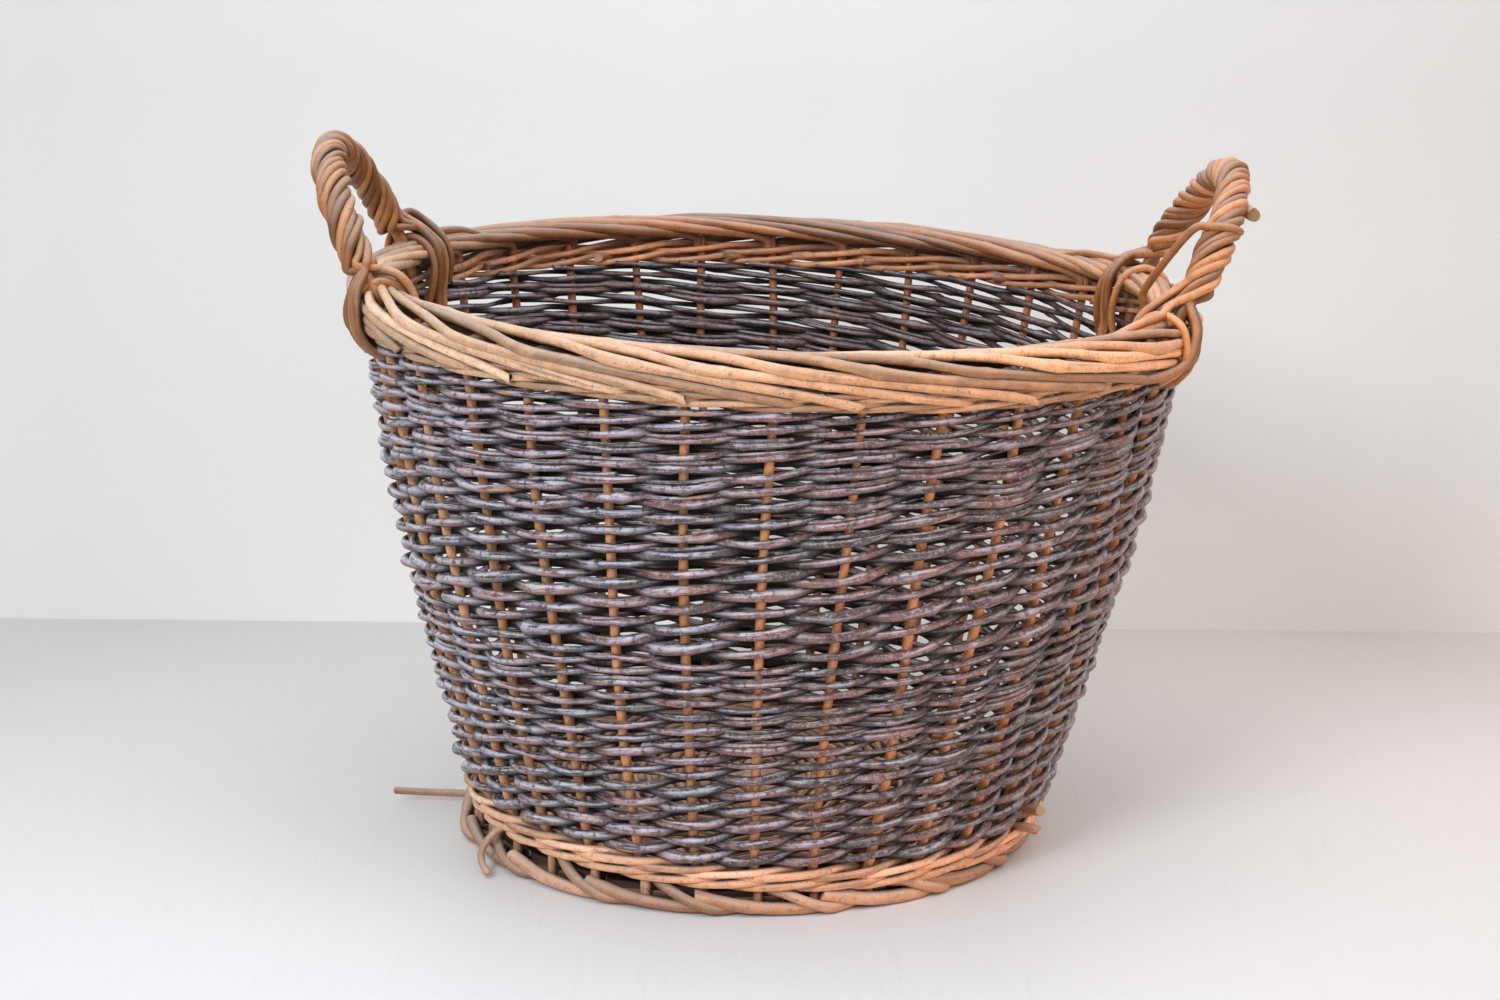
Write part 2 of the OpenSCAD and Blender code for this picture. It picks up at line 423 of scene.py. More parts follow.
def rod_along(line, radius, rng, sides=8, slant=0.7, knobbly=0.05, tone=None, heart=None, layered=0.0):
    """A copy of a straight rod, thinned to radius, its ends cut at a slant, bent along the line.

    The radius is in metres, one value or one for each point. heart is what the rod is wrapped
    round, one point for each of the line's: the side turned to it lies in the dark. layered says
    how much its top and bottom do too, where more rods lie above and below."""
    line = np.asarray(line, float)
    rings = len(line) - 1
    pattern = straight_rod(sides, rings)
    rod = pattern.copy()
    rod.data = pattern.data.copy()
    bpy.context.scene.collection.objects.link(rod)
    mesh = rod.data
    co = np.empty(len(mesh.vertices) * 3)
    mesh.vertices.foreach_get("co", co)
    co = co.reshape(-1, 3)
    ring = np.rint(co[:, 0] * rings).astype(int)
    gone = np.concatenate([[0], np.cumsum(np.linalg.norm(np.diff(line, axis=0), axis=1))])
    x = gone[ring]
    # Thickness: slow swelling, and a bud's knot every 40 to 90 mm
    swell = 1 + knobbly * np.sin(gone * rng.uniform(60, 90) + rng.uniform(0, 6)) * 0.5
    at = rng.uniform(0.01, 0.05)
    while at < gone[-1]:
        swell += rng.uniform(0.6, 2.2) * knobbly * np.exp(-(((gone - at) / 0.0035) ** 2))
        at += rng.uniform(0.04, 0.09)
    thick = (np.zeros(rings + 1) + radius) * swell
    oval = rng.uniform(-0.06, 0.06)
    y = co[:, 1] * thick[ring] * (1 + oval)
    z = co[:, 2] * thick[ring] * (1 - oval)
    turn = rng.uniform(0, 2 * math.pi)
    lean_y, lean_z = slant * math.cos(turn), slant * math.sin(turn)
    x = x + np.where((ring == 0) | (ring == rings), lean_y * y + lean_z * z, 0)
    mesh.vertices.foreach_set("co", np.stack([x, y, z], -1).ravel())
    tone = rng.random() if tone is None else tone
    offset = rng.uniform(0, 40)
    for name, values in (("tone", np.full(len(x), tone)), ("along", x + offset)):
        mesh.attributes.new(name, "FLOAT", "POINT").data.foreach_set("value", values.astype(np.float32))
    cut = np.array(
        [1.0 if len(face.vertices) == sides and abs(face.normal.x) > 0.5 else 0.0 for face in mesh.polygons]
    )
    mesh.attributes.new("cut", "FLOAT", "FACE").data.foreach_set("value", cut.astype(np.float32))

    path = bpy.data.curves.new("rod_path", "CURVE")
    path.dimensions = "3D"
    spline = path.splines.new("POLY")
    spline.points.add(rings)
    spline.points.foreach_set("co", np.c_[line, np.ones(rings + 1)].ravel())
    guide = bpy.data.objects.new("rod_path", path)
    bpy.context.scene.collection.objects.link(guide)
    only(rod)
    bend = rod.modifiers.new("Bend", "CURVE")
    bend.object = guide
    bend.deform_axis = "POS_X"
    bpy.ops.object.modifier_apply(modifier=bend.name)
    bpy.data.objects.remove(guide)
    bpy.data.curves.remove(path)
    bent = np.empty(len(mesh.vertices) * 3)
    rod.data.vertices.foreach_get("co", bent)
    side = bent.reshape(-1, 3) - line[ring]
    side /= np.maximum(np.linalg.norm(side, axis=1), 1e-9)[:, None]
    # The open and facing_up attributes serve only painted light: the materials paint shade where open is low and
    # highlights on faces turned up
    openness = np.ones(len(ring))
    if heart is not None:
        away = line - heart
        far = np.linalg.norm(away, axis=1)
        away /= np.maximum(far, 1e-9)[:, None]
        clear = np.minimum(1, far / CLEAR_OF_HEART)[ring]
        openness = 0.5 + 0.5 * np.sum(side * away[ring], axis=1) * clear
        openness = openness - layered * side[:, 2] ** 2 * (1 - 0.45 * side[:, 2])
    for name, values in (("open", openness), ("facing_up", side[:, 2])):
        rod.data.attributes.new(name, "FLOAT", "POINT").data.foreach_set("value", values.astype(np.float32))
    return rod


def bundle(name, rods, material, slot, *nodes):
    """Joins rods into one piece that stands for the frame's nodes."""
    bpy.ops.object.select_all(action="DESELECT")
    for rod in rods:
        rod.select_set(True)
    bpy.context.view_layer.objects.active = rods[0]
    if len(rods) > 1:
        bpy.ops.object.join()
    piece = bpy.context.view_layer.objects.active
    piece.name = piece.data.name = name
    piece.data.materials.clear()
    piece.data.materials.append(material)
    only(piece)
    bpy.ops.object.shade_smooth_by_angle(angle=math.radians(55))
    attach(piece, "root")
    if nodes:
        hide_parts(*nodes)
    return piece


# ---------------------------------------------------------------- materials


class Nodes:
    """A short way to lay out a material's nodes."""

    def __init__(self, material):
        self.tree = material.node_tree
        self.shader = self.tree.nodes["Principled BSDF"]

    def add(self, kind, **values):
        made = self.tree.nodes.new("ShaderNode" + kind)
        for key, value in values.items():
            setattr(made, key, value)
        return made

    def feed(self, node, **inputs):
        for key, value in inputs.items():
            numbered = key[0] == "i" and key[1:].isdigit()
            socket = node.inputs[int(key[1:]) if numbered else key.replace("_", " ")]
            if isinstance(value, bpy.types.NodeSocket):
                self.tree.links.new(value, socket)
            else:
                socket.default_value = value
        return node

    def sums(self, operation, a, b=0.0, c=0.0):
        return self.feed(self.add("Math", operation=operation), i0=a, i1=b, i2=c).outputs[0]

    def spread(self, value, low, high, to_low=0.0, to_high=1.0):
        made = self.add("MapRange")
        self.feed(made, i0=value, i1=low, i2=high, i3=to_low, i4=to_high)
        return made.outputs[0]

    def mixed(self, factor, a, b, blend="MIX"):
        made = self.add("Mix", data_type="RGBA", blend_type=blend)
        self.feed(made, i0=factor, i6=a, i7=b)
        return made.outputs[2]

    def noise(self, vector, scale, detail=3.0, rough=0.55):
        made = self.add("TexNoise")
        return self.feed(made, Vector=vector, Scale=scale, Detail=detail, Roughness=rough).outputs[0]

    def value_of(self, attribute):
        return self.add("Attribute", attribute_name=attribute).outputs["Fac"]


def shade(colour, by):
    """A lighter or darker form of a colour."""
    return [min(1.0, c * by) for c in colour[:3]] + [1.0]


def rod_patterns(n, grain=26.0):
    """Patterns that every willow rod has: mottling over the basket, streaks along the rod, fine specks."""
    place = n.add("TexCoord").outputs["Object"]
    uv = n.feed(n.add("SeparateXYZ"), i0=n.add("UVMap").outputs[0]).outputs
    tone, along = n.value_of("tone"), n.value_of("along")
    round_the_rod = n.sums("MULTIPLY", uv[0], 2 * math.pi)
    # A rod's own space: its length, the way round it, and a step aside that differs for each rod
    streak_place = n.feed(
        n.add("CombineXYZ"),
        X=n.sums("MULTIPLY", along, grain),
        Y=n.sums("MULTIPLY", n.sums("SINE", round_the_rod), 1.3),
        Z=n.sums(
            "ADD",
            n.sums("MULTIPLY", n.sums("COSINE", round_the_rod), 1.3),
            n.sums("MULTIPLY", tone, 61.0),
        ),
    ).outputs[0]
    return {
        "place": place,
        "tone": tone,
        "along": along,
        "mottle": n.noise(place, 95.0, 4.0),
        "fine": n.noise(place, 620.0, 3.0, 0.7),
        "streak": n.noise(streak_place, 1.0, 4.0, 0.6),
        "patch": n.noise(streak_place, 0.42, 1.5, 0.4),
        "cut": n.value_of("cut"),
        # Masks for the painted shade and the painted highlights
        "open": n.value_of("open"),
        "facing_up": n.value_of("facing_up"),
        "flaky": n.noise(place, 240.0, 4.0, 0.65),
        "across": n.feed(n.add("SeparateXYZ"), i0=place).outputs,
    }


def relief(n, p, fine, strength, distance):
    """Raises the grain, with a share of the fine specks, as bump."""
    height = n.sums("ADD", n.sums("MULTIPLY", p["streak"], 0.8), n.sums("MULTIPLY", p["fine"], fine))
    bump = n.feed(n.add("Bump"), Strength=strength, Distance=distance, Height=height)
    n.feed(n.shader, Normal=bump.outputs[0])


def bark_willow(name):
    """Unpeeled willow: plum to rust bark with light brown mottling, pale grey specks and a few scraped patches;
    painted bluish-white highlights and small broken highlights on the upper faces, most on the left; redder on the
    right, partly as painted warm light; painted shade in the crevices and on the far side.
    """
    if name in bpy.data.materials:
        return bpy.data.materials[name]
    colours = bpy.context.scene.willow_colours
    material = bpy.data.materials.new(name)
    material.use_nodes = True
    n = Nodes(material)
    p = rod_patterns(n, 48.0)
    ramp = n.add("ValToRGB")
    stops = ramp.color_ramp.elements
    stops[0].position, stops[0].color = 0.0, shade(colours.bark_dark, 0.8)
    stops[1].position, stops[1].color = 1.0, shade(colours.bark_red, 1.15)
    for position, colour in (
        (0.22, shade(colours.bark_dark, 1.35)),
        (0.5, shade(colours.bark_plum, 0.95)),
        (0.76, shade(colours.bark_plum, 1.45)),
        (0.88, shade(colours.bark_red, 0.8)),
    ):
        stops.new(position).color = colour
    drift = n.sums("ADD", p["tone"], n.spread(p["mottle"], 0.3, 0.7, -0.26, 0.26))
    n.feed(ramp, Fac=n.sums("ADD", drift, n.spread(p["streak"], 0.3, 0.7, -0.2, 0.2)))
    # Redder towards the right: partly rust bark, partly painted warm light from the room light on the right
    redder = n.spread(p["across"][0], -0.05, 0.25, 0.0, 0.5)
    colour = n.mixed(redder, ramp.outputs[0], (0.24, 0.100, 0.068, 1))
    # Painted highlight: a bluish-white sheen along streaks on the faces turned up to the light, most on the left
    # towards the window
    highlight_streaks = n.sums("ADD", p["streak"], n.spread(p["across"][0], -0.24, 0.04, 0.10, 0.0))
    painted_highlight = n.sums("MULTIPLY", n.spread(highlight_streaks, 0.49, 0.585), n.spread(p["facing_up"], -0.4, 0.65, 0.08, 1.0))
    painted_highlight = n.sums("MULTIPLY", painted_highlight, n.spread(p["across"][0], -0.2, 0.22, 0.92, 0.5))
    colour = n.mixed(painted_highlight, colour, (0.70, 0.69, 0.80, 1))
    # Painted highlight broken into small pale spots on the upper faces
    highlight_flecks = n.spread(p["facing_up"], -0.2, 0.6, 0.05, 0.42)
    highlight_flecks = n.sums("MULTIPLY", n.spread(p["flaky"], 0.54, 0.62), highlight_flecks)
    colour = n.mixed(highlight_flecks, colour, (0.60, 0.57, 0.60, 1))
    colour = n.mixed(n.spread(p["mottle"], 0.56, 0.68, 0.0, 0.42), colour, (0.22, 0.140, 0.115, 1))
    colour = n.mixed(n.spread(p["flaky"], 0.47, 0.36, 0.0, 0.85), colour, (0.022, 0.013, 0.014, 1))
    colour = n.mixed(n.spread(p["fine"], 0.58, 0.66, 0.0, 0.55), colour, (0.56, 0.50, 0.50, 1))
    scraped = n.spread(p["patch"], 0.725, 0.74)
    colour = n.mixed(scraped, colour, (0.50, 0.235, 0.105, 1))
    colour = n.mixed(p["cut"], colour, shade(colours.pith, 0.8))
    # Painted shade: darker on the far side of the basket
    colour = n.mixed(n.spread(p["across"][1], 0.02, 0.2, 0.0, 0.52), colour, (0.020, 0.010, 0.011, 1))
    # Painted shade in the crevices, where the rod turns to what it is wrapped round or lies between other rods
    painted_shade = n.spread(p["open"], 0.67, 0.14, 0.0, 0.98)
    colour = n.mixed(painted_shade, colour, (0.008, 0.004, 0.004, 1))
    rough = n.sums("MAXIMUM", n.spread(p["streak"], 0.3, 0.75, 0.24, 0.46), painted_shade)
    n.feed(n.shader, Base_Color=colour, Roughness=rough)
    n.feed(n.shader, Specular_IOR_Level=0.75, Coat_Weight=0.12, Coat_Roughness=0.26)
    relief(n, p, 0.5, 0.8, 0.0009)
    return material


def peeled_willow(
    name,
    colour,
    pale=1.45,
    dark=0.5,
    gloss=0.42,
    left=(1.1, 1.26, 1.5),
    right=(1.3, 1.06, 0.9),
    back=(0.58, 0.40, 0.28),
    fresh=1.0,
):
    """Buff willow: boiled and peeled, golden to cream, with long grain, faint knots, painted highlights on the
    upper faces and painted shade in the hollows.

    left, right and back tint that part of the basket, partly for the willow's own colour and partly as painted
    light and shade: cooler on the left, where the window light falls, warmer on the right, where the room light
    falls, and darker on the far side, save for the waling, whose far side is painted lighter.
    fresh says how pale the cut ends are."""
    if name in bpy.data.materials:
        return bpy.data.materials[name]
    colours = bpy.context.scene.willow_colours
    material = bpy.data.materials.new(name)
    material.use_nodes = True
    n = Nodes(material)
    p = rod_patterns(n)
    ramp = n.add("ValToRGB")
    stops = ramp.color_ramp.elements
    stops[0].position, stops[0].color = 0.0, shade(colour, dark)
    stops[1].position, stops[1].color = 1.0, shade((colour[0], colour[1] * 1.12, colour[2] * 1.35), pale)
    stops.new(0.35).color = shade(colour, 0.85)
    stops.new(0.7).color = shade((colour[0], colour[1] * 1.04, colour[2] * 1.1), 1.12)
    drift = n.sums("ADD", p["tone"], n.spread(p["mottle"], 0.3, 0.7, -0.2, 0.2))
    n.feed(ramp, Fac=n.sums("ADD", drift, n.spread(p["streak"], 0.3, 0.7, -0.22, 0.22)))
    # Side tints: partly the willow's own colour, partly painted light and shade
    side = n.mixed(n.spread(p["across"][0], -0.2, 0.2), (*left, 1), (*right, 1))
    side = n.mixed(n.spread(p["across"][1], -0.02, 0.2), side, (*back, 1))
    tinted_and_lit = n.mixed(1.0, ramp.outputs[0], side, "MULTIPLY")
    wear_and_painted_light = n.mixed(n.spread(p["streak"], 0.58, 0.74, 0.0, 0.7), tinted_and_lit, shade((0.27, 0.13, 0.062), 1.0))
    wear_and_painted_light = n.mixed(n.spread(p["fine"], 0.42, 0.30, 0.0, 0.85), wear_and_painted_light, (0.085, 0.040, 0.020, 1))
    wear_and_painted_light = n.mixed(n.spread(p["flaky"], 0.44, 0.32, 0.0, 0.5), wear_and_painted_light, (0.20, 0.095, 0.045, 1))
    # Painted highlight: whiter on the faces turned up to the light
    wear_and_painted_light = n.mixed(n.spread(p["facing_up"], 0.1, 0.9, 0.0, 0.26), wear_and_painted_light, (0.84, 0.79, 0.74, 1))
    wear_and_painted_light = n.mixed(n.spread(p["patch"], 0.66, 0.76, 0.0, 0.65), wear_and_painted_light, (0.18, 0.105, 0.075, 1))
    wear_and_painted_light = n.mixed(n.sums("MULTIPLY", p["cut"], 0.85), wear_and_painted_light, shade(colours.pith, fresh))
    # Painted shade in the hollows, where the rod turns to what it is wrapped round or lies under other rods; less
    # of it on the far side, whose inside faces the light
    painted_shade = n.spread(p["open"], 0.62, 0.12, 0.0, 0.95)
    painted_shade = n.sums("MULTIPLY", painted_shade, n.spread(p["across"][1], 0.02, 0.2, 1.0, 0.4))
    wear_and_painted_light = n.mixed(painted_shade, wear_and_painted_light, (0.040, 0.016, 0.007, 1))
    rough = n.sums("MAXIMUM", n.spread(p["streak"], 0.3, 0.7, gloss - 0.06, gloss + 0.16), painted_shade)
    n.feed(n.shader, Base_Color=wear_and_painted_light, Roughness=rough, Specular_IOR_Level=0.5)
    relief(n, p, 0.4, 0.65, 0.0008)
    return material


def border_willow():
    return peeled_willow("woven_border", bpy.context.scene.willow_colours.border)


def wale_willow():
    colour = bpy.context.scene.willow_colours.border
    # The back tint lightens the far side of the waling: painted light on its inside
    return peeled_willow("woven_wale", colour, pale=1.45, dark=0.6, gloss=0.42, back=(1.35, 1.0, 0.85))


def foot_willow():
    return peeled_willow("woven_foot", bpy.context.scene.willow_colours.foot, pale=1.4, dark=0.6, gloss=0.5)


def upsett_willow():
    colour = shade(bpy.context.scene.willow_colours.foot, 1.65)
    return peeled_willow("woven_upsett", colour, pale=1.35, dark=0.45, gloss=0.46)


def stake_willow():
    return peeled_willow("woven_stake", bpy.context.scene.willow_colours.stake, pale=1.25, dark=0.7, gloss=0.45)


def handle_willow():
    return peeled_willow(
        "woven_handle",
        bpy.context.scene.willow_colours.handle,
        pale=1.5,
        dark=0.5,
        gloss=0.48,
        left=(0.92, 0.80, 0.76),
        right=(1.35, 1.06, 0.82),
        back=(0.95, 0.78, 0.64),
        fresh=0.5,
    )


def base_willow():
    colour = shade(bpy.context.scene.willow_colours.foot, 0.85)
    return peeled_willow("woven_base", colour, pale=1.3, dark=0.6, gloss=0.6)


# ---------------------------------------------------------------- pieces


ARM_REACH = 161  # mm from the middle of the base to the end of a base stick
ARM_LANE = 9.2  # mm between the base sticks side by side in the slath
ROUND_PITCH = 4.25  # mm between the rounds of the base's weaving


def base_arms():
    """The arms of the slath: stick, its lane in the slath, its turn (degrees), its side and its end (mm)."""
    for i in range(1, 9):
        lane = (i - 1) % 4 - 1.5
        turn = (0 if i <= 4 else -90) - 180 / bpy.context.scene.basket_shape.stakes
        for sign in (-1, 1):
            end = math.radians(sign * 90 - sign * lane * 22.5)
            yield i, lane, turn, sign, (ARM_REACH * math.cos(end), ARM_REACH * math.sin(end))


class BASKET_OT_base(bpy.types.Operator):
    """Weaves the floor of the basket over and under the base sticks"""

    bl_idname = "basket.weave_base"
    bl_label = "Base"

    def execute(self, context):
        rng = random.Random(11)
        arms = 16
        sticks, knots = [], []
        for i, lane, turn, sign, end in base_arms():
            arm = [end, (lane * ARM_LANE, sign * 24), (lane * ARM_LANE, sign * 12)]
            if sign < 0:
                knots = arm
                continue
            knots += arm[::-1]
            pierced = i <= 4
            flat = smooth_line(knots, 64)
            radius, azimuth = np.hypot(flat[:, 0], flat[:, 1]), np.degrees(np.arctan2(flat[:, 1], flat[:, 0]))
            near = np.exp(-((radius / 20) ** 4))
            w = BASE_MID + (0.8 if pierced else -0.8) * near * (1 if lane > 0 else -1)
            line = on_axis(radius, azimuth + turn, w)
            sticks.append(rod_along(line, 0.0043 * (1 - 0.25 * near * (not pierced)), rng, sides=10))
        for i, stick in enumerate(sticks, 1):
            bundle(f"base_stick_rod_{i}", [stick], base_willow(), "base_willow", f"base_stick_{i}")
        # The arms fan out from the slath, so their bearings change with the radius
        out = np.linspace(27, 160, 60)
        bearings = []
        for _, lane, turn, sign, end in base_arms():
            far = np.array(end)
            near = np.array([lane * ARM_LANE, sign * 22.4])
            steps = near + (far - near) * np.linspace(0, 1, 200)[:, None]
            reach = np.hypot(steps[:, 0], steps[:, 1])
            way = np.unwrap(np.arctan2(steps[:, 1], steps[:, 0]))
            bearings.append(np.interp(out, reach, way) + math.radians(turn))
        bearings = np.array(bearings) % (2 * math.pi)
        bearings = bearings[np.argsort(bearings[:, -1])]
        bearings = np.unwrap(np.vstack([bearings, bearings[:1] + 2 * math.pi]), axis=0)
        weavers = []
        rounds = int((160 - 29) / ROUND_PITCH)
        for k in range(rounds):
            start = rng.randrange(arms)
            t = np.linspace(0, arms + 0.9, 257)
            radius = 29 + ROUND_PITCH * (k + 0.5) + rng.uniform(-0.3, 0.3) + 0.4 * np.sin(t + k)
            place = (start + t) % arms
            i = np.minimum(place.astype(int), arms - 1)
            col = np.clip((radius - 27) / 133 * 59, 0, 58.99)
            c0 = col.astype(int)

            def bearing(row):
                return bearings[row, c0] * (1 - col + c0) + bearings[row, c0 + 1] * (col - c0)

            azimuth = bearing(i) * (1 - place + i) + bearing(i + 1) * (place - i)
            wave = np.cos(np.pi * (start + t)) * (1 if k % 2 else -1)
            line = on_axis(radius, np.degrees(azimuth), BASE_MID + wave * (4.3 + 1.6))
            weavers.append(rod_along(line, np.linspace(0.0024, 0.0018, 257), rng, sides=6))
        bundle("base_weavers", weavers, base_willow(), "base_willow", "base_weave")
        return {"FINISHED"}


class BASKET_OT_stakes(bpy.types.Operator):
    """Sets the side stakes: each butt lies in the base, and its shaft follows the wall"""

    bl_idname = "basket.set_stakes"
    bl_label = "Side stakes"

    def execute(self, context):
        shape, rods = settings()
        rng = random.Random(shape.seed)
        for i in range(shape.stakes):
            w = np.concatenate([[BASE_MID] * 3, [27, 33], np.linspace(45, 344, 24)])
            radius = wall_radius(w)
            radius[:3] = [112, 150, 171]
            radius[3] -= 1.6
            knots = on_axis(radius, stake_azimuth(np.full(len(w), i), w), w)
            line = smooth_line(knots, 128)
            thick = np.linspace(rods.stake / 2, rods.stake / 2 * 0.84, 129)
            rod = rod_along(line, thick, rng, sides=10, knobbly=0.06)
            bundle(f"stake_rod_{i + 1:02d}", [rod], stake_willow(), "stake_willow", f"stake_{i + 1:02d}")
        return {"FINISHED"}


FOOT_MID = 176.0  # mm from the axis to the middle of the foot border


def foot_gap(azimuth):
    """Height of the wall's lower edge above the floor at a bearing, in mm."""
    return float(on_axis(np.array([175.0]), np.array([azimuth]), np.array([UPSETT_LOW]))[0, 2] / MM)


class BASKET_OT_foot(bpy.types.Operator):
    """Plaits the foot border: thick rods laid along the floor, with slanting rods coming down over them"""

    bl_idname = "basket.plait_foot"
    bl_label = "Foot border"

    def execute(self, context):
        shape, rods = settings()
        rng = random.Random(51)
        r, made = rods.foot / 2, []
        mid, step = FOOT_MID, 720 / shape.stakes
        for k in range(shape.stakes // 2):
            a0 = -90 - 9 + k * step + rng.uniform(-1.2, 1.2)
            size = rng.uniform(0.9, 1.08)
            lift = rng.uniform(-0.4, 0.8)
            top = foot_gap(a0 + 0.62 * step) + 7
            # Each route: (share of the space to the next rod, mm from the axis, mm above the floor)
            laid = [
                (0.00, mid + 4.6, 11.4 + lift),
                (0.10, mid + 5.0, 10.2 + lift),
                (0.45, mid + 5.6, 6.2),
                (0.85, mid + 5.2, r / MM + 0.2),
                (1.12, mid + 2.0, r / MM + 0.2),
                (1.35, mid - 3.5, r / MM + 0.6),
                (1.75, mid - 6.0, r / MM + 1.0),
            ]
            down = [
                (0.55, mid - 1.5, top),
                (0.62, mid + 1.0, top - 7),
                (0.76, mid + 5.0, 14.0),
                (0.95, mid + 8.4, 8.8),
                (1.14, mid + 7.4, r * 0.85 / MM + 0.8),
                (1.34, mid + 1.2, r * 0.8 / MM),
                (1.62, mid - 5.0, r * 0.8 / MM + 0.6),
            ]
            behind = [
                (0.00, mid - 4.0, 4.2),
                (0.30, mid - 10.0, 4.0),
                (0.90, mid - 13.0, 4.4),
                (1.50, mid - 12.0, 6.5),
                (2.00, mid - 7.0, 9.0),
            ]
            for route, thick, sides, hollow, layered in (
                (laid, np.linspace(r, r * 0.78, 65) * size, 12, (mid, 7.0), 0.0),
                (down, np.linspace(r * 0.86, r * 0.66, 65) * size, 12, (mid, 7.0), 0.0),
                (behind, r * 0.72, 10, (mid + 3.0, 12.0), 0.9),
            ):
                knots = np.array([on_foot(np.array(b), np.array(a0 + a * step), c) for a, b, c in route])
                line = smooth_line(knots, 64)
                heart = on_foot(np.full(65, hollow[0]), bearing_of(line), hollow[1])
                rod = rod_along(line, thick, rng, sides=sides, slant=0.35, heart=heart, layered=layered)
                made.append(rod)
        # The foot stakes, which hold the border to the wall
        for k in range(shape.stakes):
            a = k * 360 / shape.stakes + 2.4
            heights = (foot_gap(a) + 6, foot_gap(a) * 0.6, 5.0)
            knots = [on_foot(np.array(mid - 0.5), np.array(a), z) for z in heights]
            made.append(rod_along(smooth_line(np.array(knots), 8), 0.0029, rng, sides=8))
        bundle("foot_border_rods", made, foot_willow(), "foot_willow", "foot_border")
        return {"FINISHED"}


def wale_rods(low, high, rounds, radius, rng, start=0.0):
    """Rounds of three-rod waling: each rod goes in front of two stakes and behind one, and rises as it goes."""
    shape = bpy.context.scene.basket_shape
    made = []
    rise = (high - low) / rounds
    step = rise / 2
    reach = (shape.wall_thickness / 2 - radius) / MM
    # For each beat of three stakes: how far out of the wall the rod is, and how far it is lifted
    beats = np.array(
        [[0, -1.0, 0.0], [0.5, -0.1, -0.9], [1, 1.0, -0.5], [1.5, 1.25, 0.0], [2, 1.1, 0.5], [2.5, 0.0, 0.9]]
    )
    for turn in range(rounds):
        for j in range(3):
            t = np.linspace(0, shape.stakes + 1.7, 513)
            phase = (t + 3 - j) % 3
            table = np.vstack([beats, [[3, -1.0, 0.0]]])
            off = np.interp(phase, table[:, 0], table[:, 1])
            lift = np.interp(phase, table[:, 0], table[:, 2])
            kernel = np.array([1, 3, 5, 7, 5, 3, 1]) / 25
            off = np.convolve(np.pad(off, 3, mode="edge"), kernel, "valid")
            lift = np.convolve(np.pad(lift, 3, mode="edge"), kernel, "valid")
            size = rng.uniform(0.9, 1.08)
            w = low + rise * (turn + 0.5) + (t / shape.stakes - 0.5) * 0.6 + lift * step * 1.15
            w = w + 0.35 * np.sin(t * rng.uniform(1.5, 2.5) + rng.uniform(0, 6))
            azimuth = stake_azimuth(start + turn * 7 + t + 0.02, w)
            w = w + weave_wave(azimuth, w) * 0.5
            out = wall_radius(w) + off * reach + 0.3 * np.sin(t * 1.7 + j)
            heart = on_axis(wall_radius(w), azimuth, w)
            line = on_axis(out, azimuth, w)
            made.append(rod_along(line, radius * size, rng, sides=8, knobbly=0.07, heart=heart, layered=0.3))
    return made


class BASKET_OT_waling(bpy.types.Operator):
    """Works the bands of waling at the foot and under the rim"""

    bl_idname = "basket.work_waling"
    bl_label = "Waling"

    def execute(self, context):
        rods = context.scene.willow_rods
        rng = random.Random(71)
        low = wale_rods(UPSETT_LOW - 0.5, SIDING_LOW + 1, 2, rods.wale / 2 * 1.1, rng, 3.0)
        bundle("upsett_wale_rods", low, upsett_willow(), "buff_willow", "upsett_wale")
        top = wale_rods(SIDING_TOP, WALE_TOP, 2, rods.wale / 2 * 0.84, rng, 5.0)
        bundle("top_wale_rods", top, wale_willow(), "buff_willow", "top_wale")
        return {"FINISHED"}


